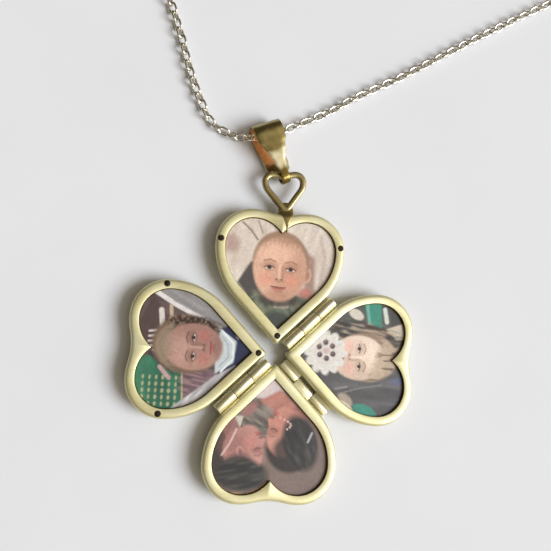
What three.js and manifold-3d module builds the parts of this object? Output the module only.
// A folding four-leaf clover locket on a fine cable chain, lying open on its back.
// Four hollow-fronted heart leaves are joined in a row by three barrel hinges, so
// that they fold zigzag into one heart. A heart-shaped ring on the top leaf hangs
// in a tapered strap bail, and the chain runs through the bail.
// Millimetres, +Z up. The origin is under the middle of the pendant, at table level.
import * as THREE from 'three';
import { mergeVertices } from 'three/addons/utils/BufferGeometryUtils.js';
import Module from 'manifold-3d';

const wasm = await Module();
wasm.setup();

// ---------------------------------------------------------------- dimensions

// Outer outline of a leaf, with its sharp tip at 0,0 and its lobes towards +Y.
const LEAF = {
  halfWidth: 13.45, length: 27.3, lobeX: 5.9, tipAngle: 45, tipRadius: 0.6,
  notchDepth: 0.7, notchLean: [2.6, 0],
};
const LEAF_THICKNESS = 2.8;
// From the middle of the back to the front edge: [inset from the outline, height].
const LEAF_PROFILE = [
  [4.2, 0], [2.2, 0.12], [0.9, 0.5], [0.25, 1.0], [0, 1.45], [0, 2.1], [0.18, 2.5], [0.7, 2.8],
];
// The recess that holds a picture. Its notch and its tip are sharp.
const WELL = {
  halfWidth: 11.55, length: 22.35, lobeX: 5.6, tipAngle: 45, tipRadius: 0.12,
  notchDepth: 2.75, notchLean: [1.3, 1.6],
};
const WELL_TIP_Y = 3.1;
const WELL_DEPTH = 0.9;
const CARD_THICKNESS = 0.25;
const CARD_INSET = 0.1;

const TIP_TO_CENTRE = 1.75;            // sharp tip of each leaf to the clover's centre
const EDGE_TO_AXIS = TIP_TO_CENTRE * Math.SQRT1_2;   // straight leaf edge to hinge axis
const FOLD_CLEARANCE = 0.03;           // hinge axis proud of the plane it folds on

const MAGNET_RADIUS = 0.6;
const MAGNET_DEPTH = 1.0;
const MAGNET_SPOTS = { left: [-12.45, 20.6], right: [12.45, 20.6], tip: [0, 1.85] };
const MAGNET_SINK = 0.05;              // face of a magnet below the rim
const BACK_MAGNET_Z = 0.62;            // face of a magnet let in from the crowned back

const KNUCKLE_RADIUS = 1.05;
const KNUCKLE_LENGTH = 4.5;
const KNUCKLE_GAP = 0.06;
const KNUCKLE_COUNT = 3;
const BARREL_START = 2.4;              // clover's centre to the first knuckle
const PIN_RADIUS = 0.35;
const PIN_HOLE_RADIUS = 0.41;
const LEAF_TAB_TOP = 0.62;             // solder tab of a knuckle, below the axis
const LEAF_TAB_BOTTOM = 1.36;

// Heart ring on the top leaf, in its own outline frame.
const RING = {
  halfWidth: 4.67, length: 9.5, lobeX: 2.45, tipAngle: 38, tipRadius: 0.5,
  notchDepth: 0.3, notchLean: [1.1, 0],
};
const RING_INNER = { ...RING, tipRadius: 0.2, notchDepth: 0.75, notchLean: [0.7, 0.6] };
const RING_BAND = 1.05;
const RING_THICKNESS = 1.2;
const RING_CHAMFER = 0.3;
const RING_TIP = [0.75, 28.15];
const RING_TILT = 5.5;                 // degrees, leaning to the left
const RING_Z = 2.7;
const RING_BAR_Y = 8.45;               // middle of the bar at the ring's notch

// Strap bail: a closed belt round two circles, in its own u (length) and z frame.
const BAIL_TILT = 24.5;
const BAIL_THICKNESS = 0.45;
const BAIL_FOOT = { u: 0, z: RING_Z, radius: 1.5 };
const BAIL_ARCH = { u: 9.5, z: 2.6, radius: 2.5 };
// Half widths along u, for the front leg and the back leg.
const BAIL_FRONT_WIDTHS = [
  [-2, 0.85], [1, 0.9], [3, 1.2], [4.6, 1.7], [5.9, 2.2], [7.9, 3.0], [10, 3.1], [12.1, 3.1],
];
const BAIL_BACK_WIDTHS = [
  [-2, 0.85], [0.7, 0.9], [2.6, 2.3], [4.6, 2.6], [7.9, 3.0], [10, 3.1], [12.1, 3.1],
];
const BAIL_ARCH_STEPS = 14;
const BAIL_LEG_STEPS = 7;
const BAIL_FOOT_STEPS = 8;

// Cable chain. Its strands and its coil are plain outer shapes here.
const CHAIN_RADIUS = 1.0;
const CHAIN_Z = 1.05;
const CHAIN_ROUTE_LEFT = [
  [-4.25, 45.4, 1.9], [-8.6, 44.2, 1.6], [-13, 45.3, 1.05], [-15.9, 47.3, 1.05], [-17.6, 50.1, 1.05],
  [-19, 53, 1.05], [-20.2, 56, 1.05], [-21.4, 59.4, 1.05], [-22.6, 63.1, 1.05], [-23.8, 66.7, 1.05],
  [-25.2, 70.3, 1.05], [-26.9, 74, 1.05], [-29, 77.5, 1.05],
];
const CHAIN_ROUTE_RIGHT = [
  [-3.95, 45.5, 1.9], [-0.4, 46.8, 1.7], [2.9, 48.7, 1.15], [6.5, 50.7, 1.05], [10.1, 52.8, 1.05],
  [13.4, 55.2, 1.05], [19.4, 58.9, 1.05], [25.6, 62.6, 1.05], [31.5, 66.5, 1.05], [37.5, 70.5, 1.05],
  [43.7, 74.6, 1.05], [50, 78.6, 1.05], [56.6, 82.8, 1.05], [63.4, 86.9, 1.05], [66.8, 89, 1.05],
];
const CHAIN_STEPS_LEFT = 16;
const CHAIN_STEPS_RIGHT = 34;
const COIL = {
  centre: [66.2, 106.4], bottomInner: 8.45, bottomOuter: 14.75, topInner: 9.45, topOuter: 13.65,
  top: 3.9, bottom: 0.05,
};
const LINK_RING = { radius: 1.6, wire: 0.32, z: 1.15 };
const END_RING_PLACE = [-30.15, 79.45];
const CLASP_RING_PLACE = [83.6, 114.6];
const CLASP_TURN = 80;                 // heading of the clasp, from its ring to its nose

// Lobster clasp, in its own frame: tail eye at 0,0, nose towards +X.
const CLASP_THICKNESS = 2.0;
const CLASP_Z = 1.2;
const CLASP_EYE = { radius: 0.82, wire: 0.33 };
const CLASP_PIVOT = [3.7, 1.0];
const CLASP_PIVOT_RADIUS = 0.3;
const CLASP_HOOK_ROUTE = [
  [3.4, -1.2], [5.4, -2.1], [7.6, -2.3], [9.6, -1.2], [10, 0.8], [8.7, 2.1], [7.9, 2.3],
];
const CLASP_HOOK_RADIUS = 0.72;
// Slot that the trigger swings in, cut through the middle of the body.
const CLASP_SLOT = { x: 4.6, y: 1.75, length: 4.4, depth: 3.7, width: 1.0 };
const TRIGGER_THICKNESS = 0.8;
const TRIGGER_CLEARANCE = 0.06;        // trigger's hole round the rivet

const FIT_CLEARANCE = 0.02;            // between pieces that are seated in each other
const HOLE_OVERRUN = 1;                // how far a cutting tool passes the surface

// -------------------------------------------------------------- materials

function metal(colour, roughness) {
  return new THREE.MeshStandardMaterial({ color: colour, roughness, metalness: 1 });
}

const brass = metal(0xd9c482, 0.35);
const darkBrass = metal(0xb49a55, 0.3);
const magnetSteel = new THREE.MeshStandardMaterial({ color: 0x1c1812, roughness: 0.5, metalness: 0.4 });
const paleChain = metal(0xd8d2c2, 0.25);
const card = new THREE.MeshStandardMaterial({ color: 0xcdbfae, roughness: 0.55, metalness: 0 });

// -------------------------------------------------------------- geometry helpers

const radians = THREE.MathUtils.degToRad;

function arcPoints(x, y, radius, from, to, steps) {
  return Array.from({ length: steps + 1 }, (_, i) => {
    const angle = radians(from + ((to - from) * i) / steps);
    return new THREE.Vector2(x + radius * Math.cos(angle), y + radius * Math.sin(angle));
  });
}

// Heart outline, anticlockwise from its tip: a round tip, straight flanks, a side arc,
// a tighter shoulder arc up to the lobe's top, and a curve down into the notch.
function heartOutline(spec, inset = 0) {
  const { halfWidth, length, lobeX, tipAngle, tipRadius, notchDepth, notchLean } = spec;
  const sine = Math.sin(radians(tipAngle));
  const cosine = Math.cos(radians(tipAngle));
  const shoulderRadius = halfWidth - lobeX;
  const shoulderY = length - shoulderRadius;
  const sideRadius = (shoulderY * sine - halfWidth * cosine) / (1 - cosine);
  const top = length - inset;
  const notch = new THREE.CubicBezierCurve(
    new THREE.Vector2(lobeX, top),
    new THREE.Vector2(lobeX * 0.55, top),
    new THREE.Vector2(notchLean[0], top - notchDepth + notchLean[1]),
    new THREE.Vector2(0, top - notchDepth),
  );
  const half = [
    ...arcPoints(0, (inset + tipRadius) / sine, tipRadius, -90, -tipAngle, 2),
    ...arcPoints(halfWidth - sideRadius, shoulderY, sideRadius - inset, -tipAngle, 0, 5),
    ...arcPoints(lobeX, shoulderY, shoulderRadius - inset, 0, 90, 6).slice(1),
    ...notch.getPoints(5).slice(1),
  ];
  half[0].x = 0;
  const mirrored = half.slice(1, -1).reverse().map((p) => new THREE.Vector2(-p.x, p.y));
  return [...half, ...mirrored];
}

function atHeight(outline, z, shiftY = 0) {
  return outline.map((p) => new THREE.Vector3(p.x, p.y + shiftY, z));
}

// Skin over a list of rings with equal point counts. Open lists are capped at both ends.
function loft(rings, closed = false) {
  const count = rings[0].length;
  const positions = rings.flatMap((ring) => ring.flatMap((p) => [p.x, p.y, p.z]));
  const index = [];
  const spans = closed ? rings.length : rings.length - 1;
  for (let r = 0; r < spans; r += 1) {
    const low = r * count;
    const high = ((r + 1) % rings.length) * count;
    for (let i = 0; i < count; i += 1) {
      const next = (i + 1) % count;
      index.push(low + i, low + next, high + next, low + i, high + next, high + i);
    }
  }
  if (!closed) {
    const flat = (ring) => ring.map((p) => new THREE.Vector2(p.x, p.y));
    const last = (rings.length - 1) * count;
    for (const [a, b, c] of THREE.ShapeUtils.triangulateShape(flat(rings[0]), [])) {
      index.push(c, b, a);
    }
    for (const [a, b, c] of THREE.ShapeUtils.triangulateShape(flat(rings.at(-1)), [])) {
      index.push(last + a, last + b, last + c);
    }
  }
  const geometry = new THREE.BufferGeometry();
  geometry.setAttribute('position', new THREE.Float32BufferAttribute(positions, 3));
  geometry.setIndex(index);
  geometry.computeVertexNormals();
  return geometry;
}

function toSolid(geometry) {
  const bare = geometry.clone();
  bare.deleteAttribute('normal');
  bare.deleteAttribute('uv');
  const merged = mergeVertices(bare, 1e-4);
  return new wasm.Manifold(new wasm.Mesh({
    numProp: 3,
    vertProperties: new Float32Array(merged.attributes.position.array),
    triVerts: new Uint32Array(merged.index.array),
  }));
}

function toGeometry(solid) {
  const mesh = solid.getMesh();
  const geometry = new THREE.BufferGeometry();
  geometry.setAttribute('position', new THREE.BufferAttribute(mesh.vertProperties, 3));
  geometry.setIndex(new THREE.BufferAttribute(mesh.triVerts, 1));
  geometry.computeVertexNormals();
  return geometry;
}

function cut(geometry, tools) {
  return toGeometry(tools.reduce((solid, tool) => solid.subtract(toSolid(tool)), toSolid(geometry)));
}

function join(geometries) {
  return toGeometry(geometries.map(toSolid).reduce((a, b) => a.add(b)));
}

// Cylinder along +Z from `from` to `to`.
function post(x, y, from, to, radius, sides = 12) {
  const geometry = new THREE.CylinderGeometry(radius, radius, to - from, sides);
  geometry.rotateX(Math.PI / 2);
  geometry.translate(x, y, (from + to) / 2);
  return geometry;
}

function named(name, geometry, material) {
  const mesh = new THREE.Mesh(geometry, material);
  mesh.name = name;
  return mesh;
}

// Tube with a regular 8-sided section along a smooth curve through the points.
function tube(points, radius, steps) {
  const section = new THREE.Shape(arcPoints(0, 0, radius, 0, 315, 7));
  const route = new THREE.CatmullRomCurve3(points);
  return new THREE.ExtrudeGeometry(section, { steps, extrudePath: route });
}

// -------------------------------------------------------------- leaves

const BACK_Z = KNUCKLE_RADIUS + FOLD_CLEARANCE;   // the lowest barrel rests on the table
const FRONT_Z = BACK_Z + LEAF_THICKNESS;
const WELL_FLOOR = LEAF_THICKNESS - WELL_DEPTH;

function leafGeometry(magnetsInFront) {
  const rings = LEAF_PROFILE.map(([inset, z]) => atHeight(heartOutline(LEAF, inset), z));
  const well = heartOutline(WELL);
  rings.push(atHeight(well, LEAF_THICKNESS, WELL_TIP_Y), atHeight(well, WELL_FLOOR, WELL_TIP_Y));
  const [from, to] = magnetsInFront
    ? [LEAF_THICKNESS - MAGNET_DEPTH - MAGNET_SINK - FIT_CLEARANCE, LEAF_THICKNESS + HOLE_OVERRUN]
    : [-HOLE_OVERRUN, BACK_MAGNET_Z + MAGNET_DEPTH + FIT_CLEARANCE];
  const holeRadius = MAGNET_RADIUS + FIT_CLEARANCE;
  const holes = Object.values(MAGNET_SPOTS).map(([x, y]) => post(x, y, from, to, holeRadius));
  return cut(loft(rings), holes);
}

function cardGeometry() {
  const outline = heartOutline(WELL, CARD_INSET);
  const underside = WELL_FLOOR + FIT_CLEARANCE;
  const face = underside + CARD_THICKNESS;
  return loft([atHeight(outline, underside, WELL_TIP_Y), atHeight(outline, face, WELL_TIP_Y)]);
}

// One leaf with its picture card and its three magnets, tip at the clover's centre.
function leaf(place, turn, magnetsInFront) {
  const group = new THREE.Group();
  group.rotation.z = radians(turn);
  const parts = new THREE.Group();
  parts.position.set(0, TIP_TO_CENTRE, BACK_Z);
  parts.add(named(`leaf_frame_${place}`, leafGeometry(magnetsInFront), brass));
  parts.add(named(`picture_card_${place}`, cardGeometry(), card));
  const low = magnetsInFront ? LEAF_THICKNESS - MAGNET_SINK - MAGNET_DEPTH : BACK_MAGNET_Z;
  for (const [spot, [x, y]] of Object.entries(MAGNET_SPOTS)) {
    const magnet = post(x, y, low, low + MAGNET_DEPTH, MAGNET_RADIUS);
    parts.add(named(`magnet_${place}_${spot}`, magnet, magnetSteel));
  }
  group.add(parts);
  return group;
}

// -------------------------------------------------------------- hinges

// Section of a knuckle: a barrel with a tab that reaches its own leaf's edge at +x.
function knuckleShape() {
  const tabEnd = EDGE_TO_AXIS - FIT_CLEARANCE;
  const upper = -Math.asin(LEAF_TAB_TOP / KNUCKLE_RADIUS);
  const lower = radians(-72);
  const shape = new THREE.Shape();
  shape.moveTo(tabEnd, -LEAF_TAB_TOP);
  shape.absarc(0, 0, KNUCKLE_RADIUS, upper, lower + 2 * Math.PI, false);
  shape.lineTo(tabEnd, -LEAF_TAB_BOTTOM);
  shape.closePath();
  const hole = new THREE.Path();
  hole.absarc(0, 0, PIN_HOLE_RADIUS, 0, 2 * Math.PI, true);
  shape.holes.push(hole);
  return shape;
}

// One barrel hinge along a line out of the clover's centre. Knuckles 1 and 3 belong to
// the leaf on the `outerSide`, knuckle 2 to the other. `up` is +1 where the barrel
// stands on the front and -1 where it stands on the back.
function hinge(name, direction, outerSide, up) {
  const group = new THREE.Group();
  const along = new THREE.Vector3(Math.cos(radians(direction)), Math.sin(radians(direction)), 0);
  const height = up > 0 ? FRONT_Z + FOLD_CLEARANCE : BACK_Z - FOLD_CLEARANCE;
  const rise = new THREE.Vector3(0, 0, up);
  for (let i = 0; i < KNUCKLE_COUNT; i += 1) {
    const side = i === 1 ? -outerSide : outerSide;
    const across = new THREE.Vector3(-along.y, along.x, 0).multiplyScalar(side);
    const length = KNUCKLE_LENGTH - KNUCKLE_GAP;
    const geometry = new THREE.ExtrudeGeometry(knuckleShape(), {
      depth: length, bevelEnabled: false, curveSegments: 7,
    });
    geometry.translate(0, 0, -length / 2);
    const forward = new THREE.Vector3().crossVectors(across, rise);
    geometry.applyMatrix4(new THREE.Matrix4().makeBasis(across, rise, forward));
    const knuckle = named(`${name}_knuckle_${i + 1}`, geometry, brass);
    const middle = BARREL_START + (i + 0.5) * KNUCKLE_LENGTH;
    knuckle.position.copy(along).multiplyScalar(middle).setZ(height);
    group.add(knuckle);
  }
  const barrelLength = KNUCKLE_COUNT * KNUCKLE_LENGTH;
  const rod = new THREE.CylinderGeometry(PIN_RADIUS, PIN_RADIUS, barrelLength, 12);
  const pin = named(`${name}_pin`, rod, darkBrass);
  pin.position.copy(along).multiplyScalar(BARREL_START + barrelLength / 2).setZ(height);
  pin.quaternion.setFromUnitVectors(new THREE.Vector3(0, 1, 0), along);
  group.add(pin);
  return group;
}

// -------------------------------------------------------------- heart ring and bail

function heartRing() {
  const low = RING_Z - RING_THICKNESS / 2;
  const high = RING_Z + RING_THICKNESS / 2;
  const outer = (inset, z) => atHeight(heartOutline(RING, inset), z);
  const inner = (inset, z) => atHeight(heartOutline(RING_INNER, RING_BAND - inset), z);
  const geometry = loft([
    outer(0, low + RING_CHAMFER), outer(0, high - RING_CHAMFER), outer(RING_CHAMFER, high),
    inner(RING_CHAMFER, high), inner(0, high - RING_CHAMFER), inner(0, low + RING_CHAMFER),
    inner(RING_CHAMFER, low), outer(RING_CHAMFER, low),
  ], true);
  const ring = named('heart_ring', geometry, darkBrass);
  ring.position.set(RING_TIP[0], RING_TIP[1], 0);
  ring.rotation.z = radians(RING_TILT);
  return ring;
}

// Points round the belt over the foot circle and the arch circle, each with its
// outward normal and a flag for the front leg.
function beltPoints() {
  const span = BAIL_ARCH.u - BAIL_FOOT.u;
  const rise = BAIL_ARCH.z - BAIL_FOOT.z;
  const distance = Math.hypot(span, rise);
  const lean = Math.atan2(rise, span);
  const spread = Math.acos((BAIL_FOOT.radius - BAIL_ARCH.radius) / distance);
  const frontNormal = lean + spread;
  const backNormal = lean - spread;
  const turn = (circle, from, to, steps) => Array.from({ length: steps + 1 }, (_, i) => {
    const angle = from + ((to - from) * i) / steps;
    const normal = new THREE.Vector2(Math.cos(angle), Math.sin(angle));
    const u = circle.u + circle.radius * normal.x;
    const z = circle.z + circle.radius * normal.y;
    return { u, z, normal };
  });
  const leg = (from, to) => Array.from({ length: BAIL_LEG_STEPS - 1 }, (_, i) => {
    const t = (i + 1) / BAIL_LEG_STEPS;
    const u = THREE.MathUtils.lerp(from.u, to.u, t);
    const z = THREE.MathUtils.lerp(from.z, to.z, t);
    return { u, z, normal: from.normal };
  });
  const arch = turn(BAIL_ARCH, backNormal, frontNormal, BAIL_ARCH_STEPS);
  const foot = turn(BAIL_FOOT, frontNormal, backNormal + 2 * Math.PI, BAIL_FOOT_STEPS);
  return [...arch, ...leg(arch.at(-1), foot[0]), ...foot, ...leg(foot.at(-1), arch[0])];
}

function halfWidthAt(widths, u) {
  const next = Math.max(1, widths.findIndex(([place]) => place >= u));
  const [u0, w0] = widths[next - 1];
  const [u1, w1] = widths[next];
  return THREE.MathUtils.lerp(w0, w1, THREE.MathUtils.smoothstep(u, u0, u1));
}

function bail() {
  const sections = beltPoints().map(({ u, z, normal }) => {
    const widths = normal.y > 0 ? BAIL_FRONT_WIDTHS : BAIL_BACK_WIDTHS;
    const half = halfWidthAt(widths, u);
    const innerU = u - normal.x * BAIL_THICKNESS;
    const innerZ = z - normal.y * BAIL_THICKNESS;
    return [
      new THREE.Vector3(-half, innerU, innerZ), new THREE.Vector3(half, innerU, innerZ),
      new THREE.Vector3(half, u, z), new THREE.Vector3(-half, u, z),
    ];
  });
  const mesh = named('bail', loft(sections, true), darkBrass);
  const tilt = radians(RING_TILT);
  mesh.position.set(
    RING_TIP[0] - RING_BAR_Y * Math.sin(tilt),
    RING_TIP[1] + RING_BAR_Y * Math.cos(tilt),
    0,
  );
  mesh.rotation.z = radians(BAIL_TILT);
  return mesh;
}

// -------------------------------------------------------------- chain and clasp

const vectors = (points) => points.map(([x, y, z]) => new THREE.Vector3(x, y, z));

function coil() {
  const profile = [
    new THREE.Vector2(COIL.bottomInner, COIL.bottom), new THREE.Vector2(COIL.bottomOuter, COIL.bottom),
    new THREE.Vector2(COIL.bottomOuter, CHAIN_Z), new THREE.Vector2(COIL.topOuter, COIL.top),
    new THREE.Vector2(COIL.topInner, COIL.top), new THREE.Vector2(COIL.bottomInner, CHAIN_Z),
    new THREE.Vector2(COIL.bottomInner, COIL.bottom),
  ];
  const geometry = new THREE.LatheGeometry(profile, 36);
  geometry.rotateX(Math.PI / 2);
  const mesh = named('chain_coil', geometry, paleChain);
  mesh.position.set(COIL.centre[0], COIL.centre[1], 0);
  return mesh;
}

function linkRing(name, [x, y]) {
  const geometry = new THREE.TorusGeometry(LINK_RING.radius, LINK_RING.wire, 8, 20);
  const mesh = named(name, geometry, paleChain);
  mesh.position.set(x, y, LINK_RING.z);
  return mesh;
}

function claspBodyGeometry() {
  const outline = new THREE.Shape();
  outline.moveTo(0.8, -0.6);
  outline.quadraticCurveTo(1.6, -1.5, 3.2, -1.95);
  outline.lineTo(4.4, -1.6);
  outline.lineTo(4.7, 0.2);
  outline.lineTo(4.7, 1.6);
  outline.quadraticCurveTo(3.6, 2.2, 2.2, 1.7);
  outline.quadraticCurveTo(1.3, 1.4, 0.8, 0.6);
  outline.closePath();
  const base = new THREE.ExtrudeGeometry(outline, {
    depth: CLASP_THICKNESS, bevelEnabled: false, curveSegments: 6,
  });
  base.translate(0, 0, -CLASP_THICKNESS / 2);
  const eye = new THREE.TorusGeometry(CLASP_EYE.radius, CLASP_EYE.wire, 8, 14);
  eye.rotateX(Math.PI / 2);
  const hookRoute = CLASP_HOOK_ROUTE.map(([x, y]) => new THREE.Vector3(x, y, 0));
  const hook = tube(hookRoute, CLASP_HOOK_RADIUS, 14);
  const slot = new THREE.BoxGeometry(CLASP_SLOT.length, CLASP_SLOT.depth, CLASP_SLOT.width);
  slot.translate(CLASP_SLOT.x, CLASP_SLOT.y, 0);
  const through = CLASP_THICKNESS;
  const pivotHole = post(...CLASP_PIVOT, -through, through, CLASP_PIVOT_RADIUS + FIT_CLEARANCE);
  return join([cut(base, [slot, pivotHole]), hook, eye]);
}

function triggerGeometry() {
  const [x, y] = CLASP_PIVOT;
  const outline = new THREE.Shape([
    new THREE.Vector2(x - 0.7, y - 0.7), new THREE.Vector2(x + 0.5, y - 0.75),
    new THREE.Vector2(x + 1.6, y + 0.35), new THREE.Vector2(7.15, 1.75),
    new THREE.Vector2(7.3, 2.7), new THREE.Vector2(5.7, 2.65),
    new THREE.Vector2(4.6, 3.6), new THREE.Vector2(3.9, 3.5),
    new THREE.Vector2(4.2, 2.3), new THREE.Vector2(x - 0.7, y + 0.6),
  ]);
  const blade = new THREE.ExtrudeGeometry(outline, { depth: TRIGGER_THICKNESS, bevelEnabled: false });
  blade.translate(0, 0, -TRIGGER_THICKNESS / 2);
  const hole = post(x, y, -CLASP_THICKNESS, CLASP_THICKNESS, CLASP_PIVOT_RADIUS + TRIGGER_CLEARANCE);
  return cut(blade, [hole]);
}

function clasp() {
  const group = new THREE.Group();
  const heading = radians(CLASP_TURN);
  group.position.set(
    CLASP_RING_PLACE[0] + LINK_RING.radius * Math.cos(heading),
    CLASP_RING_PLACE[1] + LINK_RING.radius * Math.sin(heading),
    CLASP_Z,
  );
  group.rotation.z = heading;
  group.add(named('clasp_body', claspBodyGeometry(), paleChain));
  group.add(named('clasp_trigger', triggerGeometry(), paleChain));
  const half = CLASP_THICKNESS / 2;
  group.add(named('clasp_rivet', post(...CLASP_PIVOT, -half, half, CLASP_PIVOT_RADIUS), paleChain));
  return group;
}

// -------------------------------------------------------------- assembly

const pendant = new THREE.Group();
pendant.add(leaf('top', 0, true));
pendant.add(leaf('right', -90, false));
pendant.add(leaf('bottom', 180, false));
pendant.add(leaf('left', 90, true));
pendant.add(hinge('hinge_top_right', 45, 1, 1));
pendant.add(hinge('hinge_right_bottom', -45, 1, -1));
pendant.add(hinge('hinge_bottom_left', -135, 1, 1));
pendant.add(heartRing());
pendant.add(bail());

const chain = new THREE.Group();
const leftStrand = tube(vectors(CHAIN_ROUTE_LEFT), CHAIN_RADIUS, CHAIN_STEPS_LEFT);
const rightStrand = tube(vectors(CHAIN_ROUTE_RIGHT), CHAIN_RADIUS, CHAIN_STEPS_RIGHT);
chain.add(named('chain_left', leftStrand, paleChain));
chain.add(named('chain_right', rightStrand, paleChain));
chain.add(coil());
chain.add(linkRing('end_ring', END_RING_PLACE));
chain.add(linkRing('clasp_ring', CLASP_RING_PLACE));
chain.add(clasp());

const locket = new THREE.Group();
const pendantBox = new THREE.Box3().setFromObject(pendant, true);
const middle = pendantBox.getCenter(new THREE.Vector3());
locket.add(pendant, chain);
pendant.position.set(-middle.x, -middle.y, -pendantBox.min.z);
chain.position.copy(pendant.position);

export default locket;
